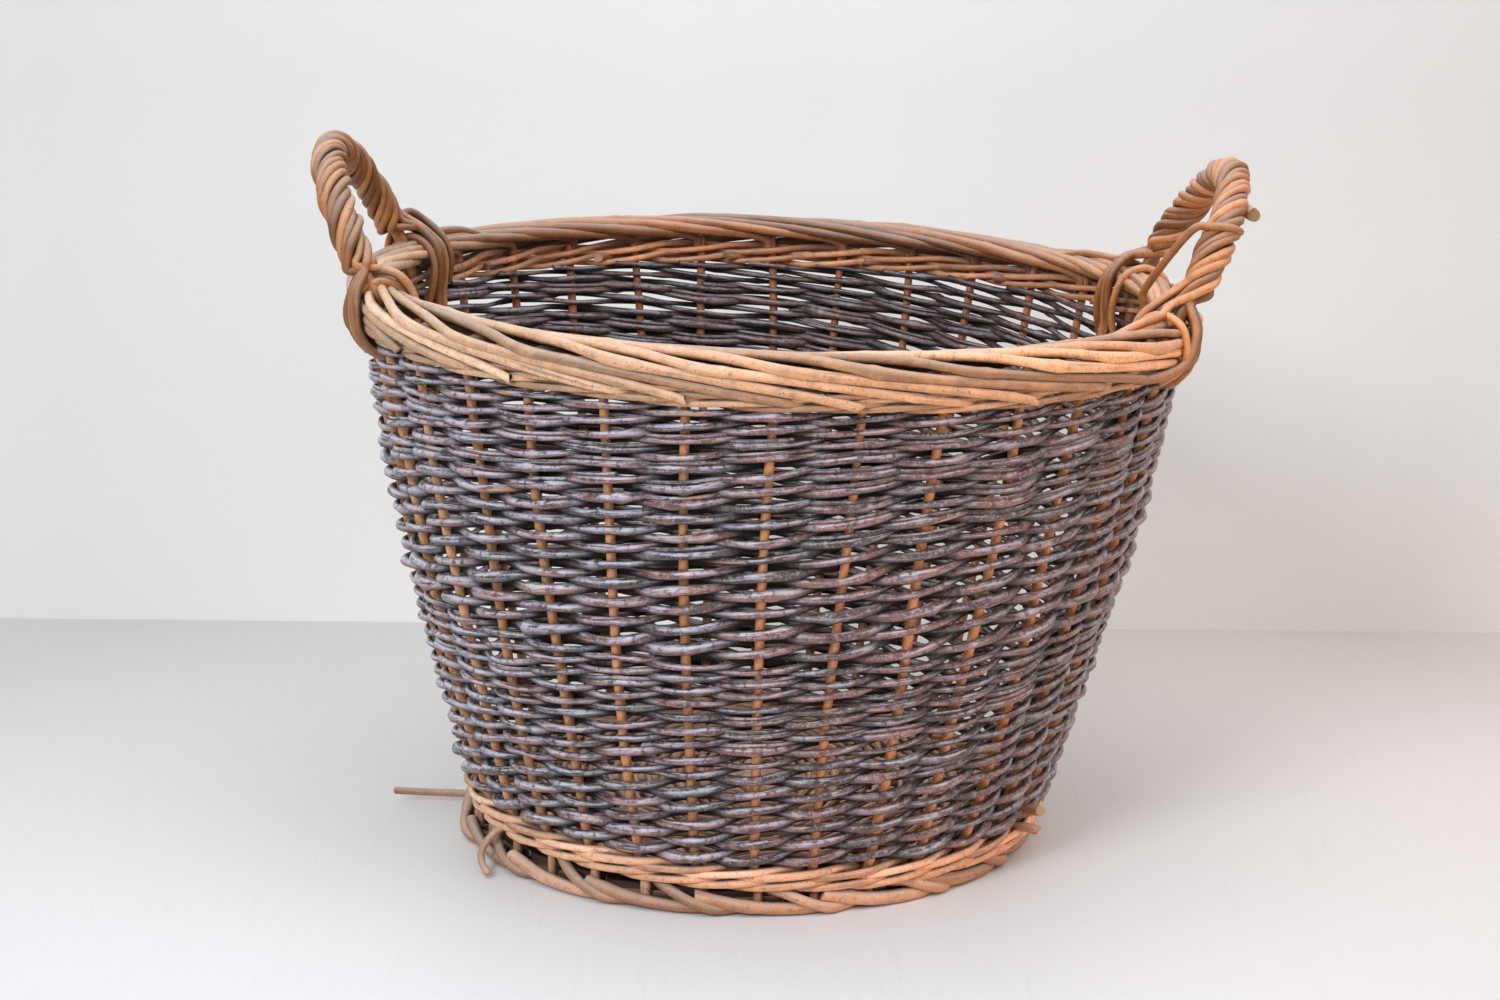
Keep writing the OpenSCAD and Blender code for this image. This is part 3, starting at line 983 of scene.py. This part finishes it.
def block_of_siding(low, high, spaces, rng, stout=1.0, doubled=0.0):
    """French randing: one weaver starts behind every stake, and all rise together, over one and under one."""
    shape, rods = settings()
    made = []
    t = np.linspace(-0.45, spaces + 0.35, 257)
    inside = np.clip(t / spaces, 0, 1)
    thick = (rods.weaver_butt + (rods.weaver_tip - rods.weaver_butt) * inside**0.9) * stout
    climb = np.concatenate([[0], np.cumsum((thick[1:] + thick[:-1]) / 2 * np.diff(t))])
    climb = climb - np.interp(0, t, climb)
    room = high - low - (rods.weaver_butt + rods.weaver_tip) / 2 / MM
    climb = climb * room / np.interp(spaces, t, climb)
    for k in range(shape.stakes):
        size = rng.uniform(0.84, 1.14)
        r = thick / 2 * size
        steps = np.arange(-1, spaces + 2, 0.5)
        kink = np.interp(t, steps, [rng.gauss(0, 0.55) for _ in steps])
        sway = np.interp(t, steps, [rng.gauss(0, 0.5) for _ in steps])
        w = low + kink + rods.weaver_butt / 2 / MM + climb
        w = w + 0.75 * np.sin(t * rng.uniform(0.5, 1.1) + rng.uniform(0, 6)) * np.sin(np.pi * inside)
        w = w + 0.4 * np.sin(t * rng.uniform(2, 4) + rng.uniform(0, 6))
        azimuth = stake_azimuth(k + t, w)
        w = w + weave_wave(azimuth, w)
        swing = np.cos(np.pi * np.clip(t, 0, spaces))
        swing = swing * (1.2 - 0.2 * swing**2)
        reach = rods.stake / 2 / MM + r / MM * 0.96
        out = wall_radius(w) - swing * reach + sway
        tone = min(1, max(0, rng.gauss(0.46, 0.24)))
        heart = on_axis(wall_radius(w), azimuth, w)
        line = on_axis(out, azimuth, w)
        made.append(rod_along(line, r, rng, sides=8, knobbly=0.27, tone=tone, heart=heart, layered=0.4))
        # Thin rods laid in beside the weavers where these grow slender
        begin = rng.uniform(0.35, 0.7)
        if rng.random() < doubled:
            part = np.linspace(begin, min(1, begin + rng.uniform(0.15, 0.35)), 129) * (t[-1] - t[0]) + t[0]
            w2 = np.interp(part, t, w) + np.interp(part, t, r) / MM + 0.9
            azimuth2 = stake_azimuth(k + part, w2)
            swing2 = np.interp(part, t, swing)
            out2 = wall_radius(w2) - swing2 * (rods.stake / 2 / MM + 1.5) + 0.4 * np.sin(part * 2 + k)
            line = on_axis(out2, azimuth2, w2)
            heart = on_axis(wall_radius(w2), azimuth2, w2)
            slender = {"sides": 6, "knobbly": 0.12, "tone": tone * 0.8}
            made.append(rod_along(line, 0.00135 * size, rng, heart=heart, layered=0.34, **slender))
    return made


class BASKET_OT_siding(bpy.types.Operator):
    """Weaves the two blocks of dark siding"""

    bl_idname = "basket.weave_siding"
    bl_label = "Siding"

    def execute(self, context):
        rng = random.Random(context.scene.basket_shape.seed + 5)
        lower = block_of_siding(SIDING_LOW, SIDING_JOIN + 1.5, 28, rng, 1.0, 0.3)
        bundle("lower_siding_weavers", lower, bark_willow("bark_willow"), "brown_willow", "lower_siding")
        upper = block_of_siding(SIDING_JOIN - 1.5, SIDING_TOP, 30, rng, 1.05, 0.85)
        bundle("upper_siding_weavers", upper, bark_willow("bark_willow"), "brown_willow", "upper_siding")
        return {"FINISHED"}


class BASKET_OT_rim(bpy.types.Operator):
    """Turns the stakes' tops down into the rolled rim border, and tucks in the ends"""

    bl_idname = "basket.turn_rim"
    bl_label = "Rim border"

    def execute(self, context):
        shape, rods = settings()
        rng = random.Random(91)
        made, mid = [], border_radius()
        step = 360 / shape.stakes
        # A strand's way: (stakes passed, mm out from the border's middle, height)
        turned = [
            (0.00, 1.0, 334.0),
            (0.04, 0.0, 341.0),
            (0.30, -5.0, 345.6),
            (1.00, -9.4, 348.2),
            (2.00, -8.0, 352.2),
            (3.00, -3.4, 354.2),
            (4.00, 2.2, 354.4),
            (4.50, 6.6, 353.0),
            (4.85, 10.4, 350.6),
            (5.20, 12.8, 347.8),
            (5.80, 12.4, 344.9),
            (6.60, 12.0, 340.4),
            (7.40, 11.4, 335.6),
            (8.00, 9.6, 331.6),
            (8.35, 3.0, 329.6),
            (8.60, -4.0, 329.6),
        ]
        cut_outside = [(6.6, 12.0, 340.4), (7.4, 11.6, 335.0), (7.8, 12.4, 331.4), (7.96, 12.8, 329.4)]
        for k in range(shape.stakes):
            nudge, push = rng.uniform(-0.7, 0.7), rng.uniform(-0.6, 0.6)
            route = turned[: 12 if k % 2 else 16]
            if k % 2:
                # Every second strand ends outside, in a slanting cut under the border
                route = route[:-1] + cut_outside
            knots = [
                on_axis(
                    np.array(mid + b + push + 0.5 * math.sin(3 * k + 2 * a)),
                    stake_azimuth(k, 340.0) + (a + 0.06 * math.sin(5 * k + a)) * step,
                    c + nudge * (0.2 < a < 5.5) + 0.5 * math.sin(7 * k + 1.3 * a),
                )
                for a, b, c in route
            ]
            thick = rods.border / 2 * rng.uniform(0.92, 1.1) * np.linspace(1.04, 0.86, 257)
            thick = thick * (1 + 0.2 * np.exp(-((np.linspace(0, route[-1][0], 257) - 5.1) / 0.34) ** 2))
            line = smooth_line(np.array(knots), 256)
            height = np.interp(np.linspace(0, len(route) - 1, 257), range(len(route)), [c for _, _, c in route])
            heart = on_axis(np.full(257, mid - 1.0), bearing_of(line), np.minimum(height - 1, 344.0))
            made.append(rod_along(line, thick, rng, sides=10, slant=0.9, knobbly=0.08, heart=heart, layered=0.2))
        bundle("rim_border_strands", made, border_willow(), "border_willow", "rim_border")
        return {"FINISHED"}


def arch_frame(side):
    """A handle's arch: its centre (mm), its outward, along and up directions, and its radius (mm).

    side is 1 on the right and -1 on the left."""
    reach = float(wall_radius(HUB))
    out = np.array(reach * math.cos(math.radians(LEG_AZIMUTH)))
    centre = on_axis(out, np.array(0 if side > 0 else 180), HUB) / MM
    lean = Matrix.Rotation(bpy.context.scene.basket_shape.lean, 3, "Y")
    facing = Matrix.Rotation(0 if side > 0 else math.pi, 3, "Z")
    turn = lean @ facing @ Matrix.Rotation(math.radians(HANDLE_TIP), 3, "Y")
    axes = [np.array(turn @ Vector(v)) for v in ((1, 0, 0), (0, 1, 0), (0, 0, 1))]
    centre = centre + axes[2] * (RIGHT_HANDLE_LIFT if side > 0 else 0)
    return centre, *axes, reach * math.sin(math.radians(LEG_AZIMUTH))


def arch_line(side, phi, off, psi):
    """Points round a handle's bow, in metres.

    phi (degrees) runs up and over the arch, off (mm) is the distance from the bow, and psi
    (degrees) the turn about it."""
    centre, out, along, up, radius = arch_frame(side)
    phi, psi = np.radians(phi), np.radians(psi)
    rad = radius + off * np.cos(psi)
    return (
        centre
        + (off * np.sin(psi))[:, None] * out
        + (-rad * np.cos(phi))[:, None] * along
        + (rad * np.sin(phi))[:, None] * up
    ) * MM


# How a roping rod goes on from a leg: steps of
# (degrees away from the handle, mm out from the border's middle, height)
ROPE_WAYS = {
    "over": [
        (0, 12, 367),
        (0.6, 17.5, 355),
        (1.0, 18.5, 343),
        (1.3, 17.2, 331),
        (1.5, 11, 321),
        (1.6, 3, 316),
        (1.7, -4, 313),
    ],
    "inside": [
        (0, -4, 366),
        (0.3, -14.5, 356),
        (0.5, -17.5, 345),
        (0.7, -17, 333),
        (0.8, -16, 322),
        (0.9, -17, 313),
    ],
    "curl": [
        (-0.8, 13, 365),
        (-0.3, 18.5, 352),
        (0.6, 19, 341),
        (2.8, 18, 333),
        (6, 16, 330),
        (10, 14, 329),
        (13, 9, 329),
        (15, 1, 329),
    ],
    "crest": [(1, 4, 365), (4, 1, 360), (8, -1, 359), (12, -2.5, 358), (15.5, -6, 354), (18, -10, 349)],
    "loop": [(2.6, 8, 374), (4.6, 0, 368), (5.4, -12, 359), (5.6, -17.5, 348), (5.6, -17.5, 338), (5.8, -16, 329)],
}
# For each leg, (side, whether it is the near one): the ways of its four strands' two rods
LEG_ENDS = {
    (1, True): (("crest", "crest"), ("curl", "curl"), ("over", "curl"), ("inside", "inside")),
    (1, False): (("over", "over"), ("over", "curl"), ("inside", "inside"), ("inside", "crest")),
    (-1, True): (("over", "over"), ("over", "over"), ("inside", "over"), ("inside", "inside")),
    (-1, False): (("loop", "crest"), ("over", "over"), ("over", "inside"), ("inside", "inside")),
}


class BASKET_OT_handles(bpy.types.Operator):
    """Ropes the two handles round their bows and works the ends into the border"""

    bl_idname = "basket.rope_handles"
    bl_label = "Roped handles"

    def execute(self, context):
        rods = context.scene.willow_rods
        rng = random.Random(131)
        mid = border_radius()
        for side, name in ((-1, "left"), (1, "right")):
            base = 0 if side > 0 else 180
            # The bow
            heights = (242.0, 280.0, 318.0, 338.0)
            legs = [[on_axis(wall_radius(w), base + s * LEG_AZIMUTH, w) for w in heights] for s in (-1, 1)]
            phi = np.linspace(2, 178, 25)
            arch = arch_line(side, phi, np.zeros(25), np.zeros(25))
            flip = np.linalg.norm(arch[0] - legs[0][-1]) > np.linalg.norm(arch[0] - legs[1][-1])
            first, last = (legs[1], legs[0]) if flip else (legs[0], legs[1])
            bow_line = smooth_line(np.vstack([first, arch, last[::-1]]), 256)
            bow = rod_along(bow_line, 0.0042, rng, sides=10)
            bundle(f"{name}_handle_bow_rod", [bow], handle_willow(), "handle_willow", f"{name}_handle_bow")
            for band in range(4):
                pair = []
                for twin in (0, 1):
                    s = np.linspace(0, 1, 41)
                    phi = 15 + 150 * s
                    wobble = rng.uniform(0, 6)
                    psi = 360 * (3.6 * s + band / 4) + (twin - 0.5) * 40 + 9 * np.sin(9 * s + wobble)
                    off = 7.4 + 0.9 * np.sin(17 * s + wobble) + 0.9 * twin
                    wound = arch_line(side, phi, off, psi)
                    way = []
                    for end in (0, 1):
                        near = (end == 0) == (side > 0)
                        sign = -side if near else side
                        kind = LEG_ENDS[side, near][band][twin]
                        fan = rng.uniform(-0.5, 0.5) + (twin - 0.5) * 1.4 + (band - 1.5) * 0.7
                        route = []
                        for j, (a, b, c) in enumerate(ROPE_WAYS[kind]):
                            spread = fan * min(1, 0.4 + 0.3 * j)
                            route.append(on_axis(np.array(mid + b), base + sign * (LEG_AZIMUTH + a + spread), c))
                        way.append(np.array(route))
                    knots = np.vstack([way[0][::-1], wound, way[1]])
                    thick = rods.roping / 2 * rng.uniform(0.86, 1.14)
                    line = smooth_line(knots, 256)
                    pair.append(rod_along(line, thick, rng, sides=8, knobbly=0.07, heart=nearest(line, bow_line)))
                strand = f"{name}_handle_strand_{band + 1}"
                bundle(f"{name}_handle_roping_{band + 1}", pair, handle_willow(), "handle_willow", strand)
            # Lashings over the border beside each leg
            lashes = []
            for sign in (-1, 1):
                leg = base + sign * LEG_AZIMUTH
                for gap in (-2.6, 0.4 if side < 0 else 2.9):
                    swing = rng.uniform(-0.8, 0.8)
                    ring = [
                        (gap + 1.2 + swing, wall_radius(311.0) - border_radius() - 10.0, 311.0),
                        (gap + 0.8 + swing, -16.5, 326.0),
                        (gap + 0.4, -17.0, 342.0),
                        (gap, -11.0, 355.0),
                        (gap - 0.4, 1.0, 359.8),
                        (gap - 0.8, 13.0, 354.6),
                        (gap - 1.2, 18.0, 343.0),
                        (gap - 1.6, 17.0, 331.0),
                        (gap - 1.8, 9.0, 323.0),
                        (gap - 1.8, 0.0, 318.0),
                    ]
                    knots = np.array([on_axis(np.array(mid + b), leg + a, c) for a, b, c in ring])
                    lashes.append(rod_along(smooth_line(knots, 64), 0.0026 * rng.uniform(0.9, 1.1), rng, sides=8))
            if side > 0:
                # A strand that has sprung loose from the near leg
                inwards = ((-15, -17, 371), (-14.5, -19, 360), (-14.5, -17, 350))
                loose = np.vstack(
                    [
                        arch_line(
                            side,
                            np.array([52.0, 46, 41, 38, 34]),
                            np.array([9.0, 10, 11, 13, 19]),
                            np.array([150.0, 80, 10, -50, -82]),
                        ),
                        [on_axis(np.array(mid + b), a, c) for a, b, c in inwards],
                    ]
                )
                lashes.append(rod_along(smooth_line(loose, 64), 0.0026, rng, sides=8))
                # The cut end of a rope strand
                phi, off, psi = np.array([[62.0, 60, 58], [5.0, 10, 14.5], [95.0, 88, 80]])
                knob = arch_line(side, phi, off, psi)
                lashes.append(rod_along(smooth_line(knob, 16), 0.0042, rng, sides=10))
            lashings = f"{name}_handle_lashings"
            bundle(f"{name}_handle_lashing_rods", lashes, handle_willow(), "handle_willow", lashings)
        return {"FINISHED"}


class BASKET_OT_strays(bpy.types.Operator):
    """Adds the rod ends that the maker left: a long butt at the foot, a broken tip and a few cut ends"""

    bl_idname = "basket.leave_strays"
    bl_label = "Stray rod ends"

    def execute(self, context):
        rng = random.Random(7)
        x0 = foot_x()
        made = []
        for knots, thick in (
            # The long butt
            ([(-160, 16, 8), (-186, 21, 7), (-212, 22, 7.4), (-231, 21.5, 8.4)], 2.4),
            # The broken, hanging tip
            ([(-150, -97, 26), (-158, -101, 21), (-164, -106, 13), (-163, -113, 7), (-159, -120, 2.9)], 2.3),
            # The cut ends
            ([(168, -76, 32), (176, -82, 35), (183, -88, 36)], 3.2),
            ([(166, -84, 24), (175, -90, 26), (181, -95, 26)], 3.0),
        ):
            line = smooth_line(np.array([(x + x0, y, z) for x, y, z in knots]) * MM, 32)
            made.append(rod_along(line, thick * MM, rng, sides=10, tone=0.5))
        bundle("stray_rods", made, foot_willow(), "foot_willow", "stray_rod_ends")
        return {"FINISHED"}


# ---------------------------------------------------------------- stage


def pale_surface(name):
    """A new material for the stage, and its nodes."""
    material = bpy.data.materials.new(name)
    material.use_nodes = True
    return material, Nodes(material)


def floor_paint():
    """Limed boards with faint long grain, and painted light: cooler and lighter towards the window, warmer and a
    little darker at the back, warmer on the right, lighter round the basket, and a painted shadow under it.
    """
    material, n = pale_surface("pale_floor")
    place = n.add("TexCoord").outputs["Object"]
    parts = n.feed(n.add("SeparateXYZ"), i0=place).outputs
    stretch = n.feed(n.add("Mapping"), Vector=place, Scale=(26.0, 1.6, 1.0))
    grain = n.noise(stretch.outputs[0], 6.0, 6.0, 0.62)
    # Painted light: lighter and cooler towards the window at the front, darker and warmer at the back, warmer on
    # the right where the room light falls
    colour = n.mixed(n.spread(parts[1], -0.8, 0.45), (0.76, 0.77, 0.82, 1), (0.56, 0.545, 0.53, 1))
    colour = n.mixed(n.spread(parts[0], 0.0, 0.9, 0.0, 0.5), colour, (0.74, 0.63, 0.57, 1))
    colour = n.mixed(n.spread(grain, 0.56, 0.70, 0.0, 0.10), colour, (0.45, 0.42, 0.41, 1))
    # Painted light and shadow: lighter round the basket, and near-black under it, where hardly any light gets
    foot = (foot_x() * MM, 0.0, 0.0)
    out = n.feed(n.add("VectorMath", operation="DISTANCE"), i0=place, i1=foot).outputs["Value"]
    colour = n.mixed(n.spread(out, 0.65, 0.22), colour, (1.24, 1.24, 1.22, 1), "MULTIPLY")
    colour = n.mixed(n.spread(out, 0.177, 0.163), colour, (0.02, 0.014, 0.012, 1))
    n.feed(n.shader, Base_Color=colour, Roughness=0.5)
    return material


def wall_paint():
    """Matt off-white paint on a wall that only shows from the front, painted lighter in the middle and low down as
    painted light.
    """
    material, n = pale_surface("pale_wall")
    parts = n.feed(n.add("SeparateXYZ"), i0=n.add("TexCoord").outputs["Object"]).outputs
    # Painted light: darker towards the sides, lighter near the floor
    far = n.spread(n.sums("ABSOLUTE", parts[0]), 0.08, 0.55)
    colour = n.mixed(far, (0.80, 0.80, 0.79, 1), (0.66, 0.65, 0.635, 1))
    colour = n.mixed(n.spread(parts[2], 0.42, 0.02), colour, (1.17, 1.15, 1.13, 1), "MULTIPLY")
    n.feed(n.shader, Base_Color=colour, Roughness=0.9)
    clear = n.add("BsdfTransparent")
    behind = n.add("NewGeometry").outputs["Backfacing"]
    both = n.feed(n.add("MixShader"), i0=behind, i1=n.shader.outputs[0], i2=clear.outputs[0])
    n.tree.links.new(both.outputs[0], n.tree.nodes["Material Output"].inputs["Surface"])
    return material


class BASKET_OT_stage(bpy.types.Operator):
    """Sets the pale floor and wall, the soft light and the camera"""

    bl_idname = "basket.set_stage"
    bl_label = "Stage"

    def execute(self, context):
        scene = context.scene
        studio = scene.studio_settings
        bpy.ops.object.select_all(action="DESELECT")
        bpy.ops.mesh.primitive_plane_add(size=1)
        floor = context.active_object
        floor.name = "floor"
        floor.scale = (12, 8, 1)
        floor.location = (0, studio.wall_distance - 4, 0)
        floor.data.materials.append(floor_paint())
        bpy.ops.object.select_all(action="DESELECT")
        bpy.ops.mesh.primitive_plane_add(size=1, rotation=(math.pi / 2, 0, 0))
        wall = context.active_object
        wall.name = "wall"
        wall.scale = (12, 5, 1)
        wall.location = (0, studio.wall_distance, 2.5)
        wall.data.materials.append(wall_paint())
        for thing in (floor, wall):
            only(thing)
            bpy.ops.object.transform_apply(location=True, rotation=True, scale=True)
        for name, place, size, power, colour in (
            ("window_light", (-1.7, -2.9, 2.1), 1.3, 80, (0.90, 0.95, 1.0)),
            ("room_light", (2.3, -1.3, 1.5), 2.0, 24, (1.0, 0.88, 0.79)),
            ("ceiling_light", (0.0, -0.4, 2.6), 2.4, 30, (1.0, 0.99, 0.98)),
        ):
            bpy.ops.object.select_all(action="DESELECT")
            bpy.ops.object.light_add(type="AREA", location=place)
            light = context.active_object
            light.name = name
            light.data.shape = "SQUARE"
            light.data.size = size
            light.data.energy = power
            light.data.color = colour
            aim = Vector((0, 0, 0.2)) - Vector(place)
            light.rotation_euler = aim.to_track_quat("-Z", "Y").to_euler()
        world = scene.world or bpy.data.worlds.new("soft_room")
        scene.world = world
        world.use_nodes = True
        background = world.node_tree.nodes["Background"]
        background.inputs["Color"].default_value = (0.93, 0.95, 1.0, 1.0)
        background.inputs["Strength"].default_value = 0.46
        bpy.ops.object.select_all(action="DESELECT")
        bpy.ops.object.camera_add(location=studio.camera_place)
        camera = context.active_object
        camera.name = "camera"
        camera.data.lens = studio.lens
        camera.data.sensor_width = 36
        camera.data.dof.use_dof = False
        camera.data.clip_start, camera.data.clip_end = 0.05, 50
        look = Matrix.Rotation(math.pi / 2 - studio.pitch, 4, "X") @ Matrix.Rotation(studio.roll, 4, "Z")
        camera.matrix_world = Matrix.Translation(Vector(studio.camera_place)) @ look
        scene.camera = camera
        scene.view_settings.view_transform = "Standard"
        scene.view_settings.look = "None"
        return {"FINISHED"}


# ---------------------------------------------------------------- panel

OPERATORS = (
    BASKET_OT_base,
    BASKET_OT_stakes,
    BASKET_OT_foot,
    BASKET_OT_waling,
    BASKET_OT_siding,
    BASKET_OT_rim,
    BASKET_OT_handles,
    BASKET_OT_strays,
    BASKET_OT_stage,
)


class BASKET_PT_panel(bpy.types.Panel):
    """Lists the basket's pieces and its settings"""

    bl_label = "Willow Log Basket"
    bl_idname = "BASKET_PT_panel"
    bl_space_type = "VIEW_3D"
    bl_region_type = "UI"
    bl_category = "Basket"

    def draw(self, context):
        for kind in OPERATORS:
            self.layout.operator(kind.bl_idname)
        for name in GROUPS:
            box = self.layout.box()
            group = getattr(context.scene, name)
            for prop in group.bl_rna.properties:
                if prop.identifier in group.__annotations__:
                    box.prop(group, prop.identifier)


GROUPS = {
    "basket_shape": BasketShape,
    "willow_rods": WillowRods,
    "willow_colours": WillowColours,
    "studio_settings": StudioSettings,
}


def register():
    for kind in (*GROUPS.values(), *OPERATORS, BASKET_PT_panel):
        bpy.utils.register_class(kind)
    for name, kind in GROUPS.items():
        setattr(bpy.types.Scene, name, PointerProperty(type=kind))


def unregister():
    for name in GROUPS:
        delattr(bpy.types.Scene, name)
    for kind in (BASKET_PT_panel, *reversed(OPERATORS), *reversed(GROUPS.values())):
        bpy.utils.unregister_class(kind)


def main():
    register()
    bpy.ops.basket.weave_base()
    bpy.ops.basket.set_stakes()
    bpy.ops.basket.plait_foot()
    bpy.ops.basket.work_waling()
    bpy.ops.basket.weave_siding()
    bpy.ops.basket.turn_rim()
    bpy.ops.basket.rope_handles()
    bpy.ops.basket.leave_strays()
    put_away_straight_rods()
    bpy.ops.basket.set_stage()


if __name__ == "__main__":
    main()
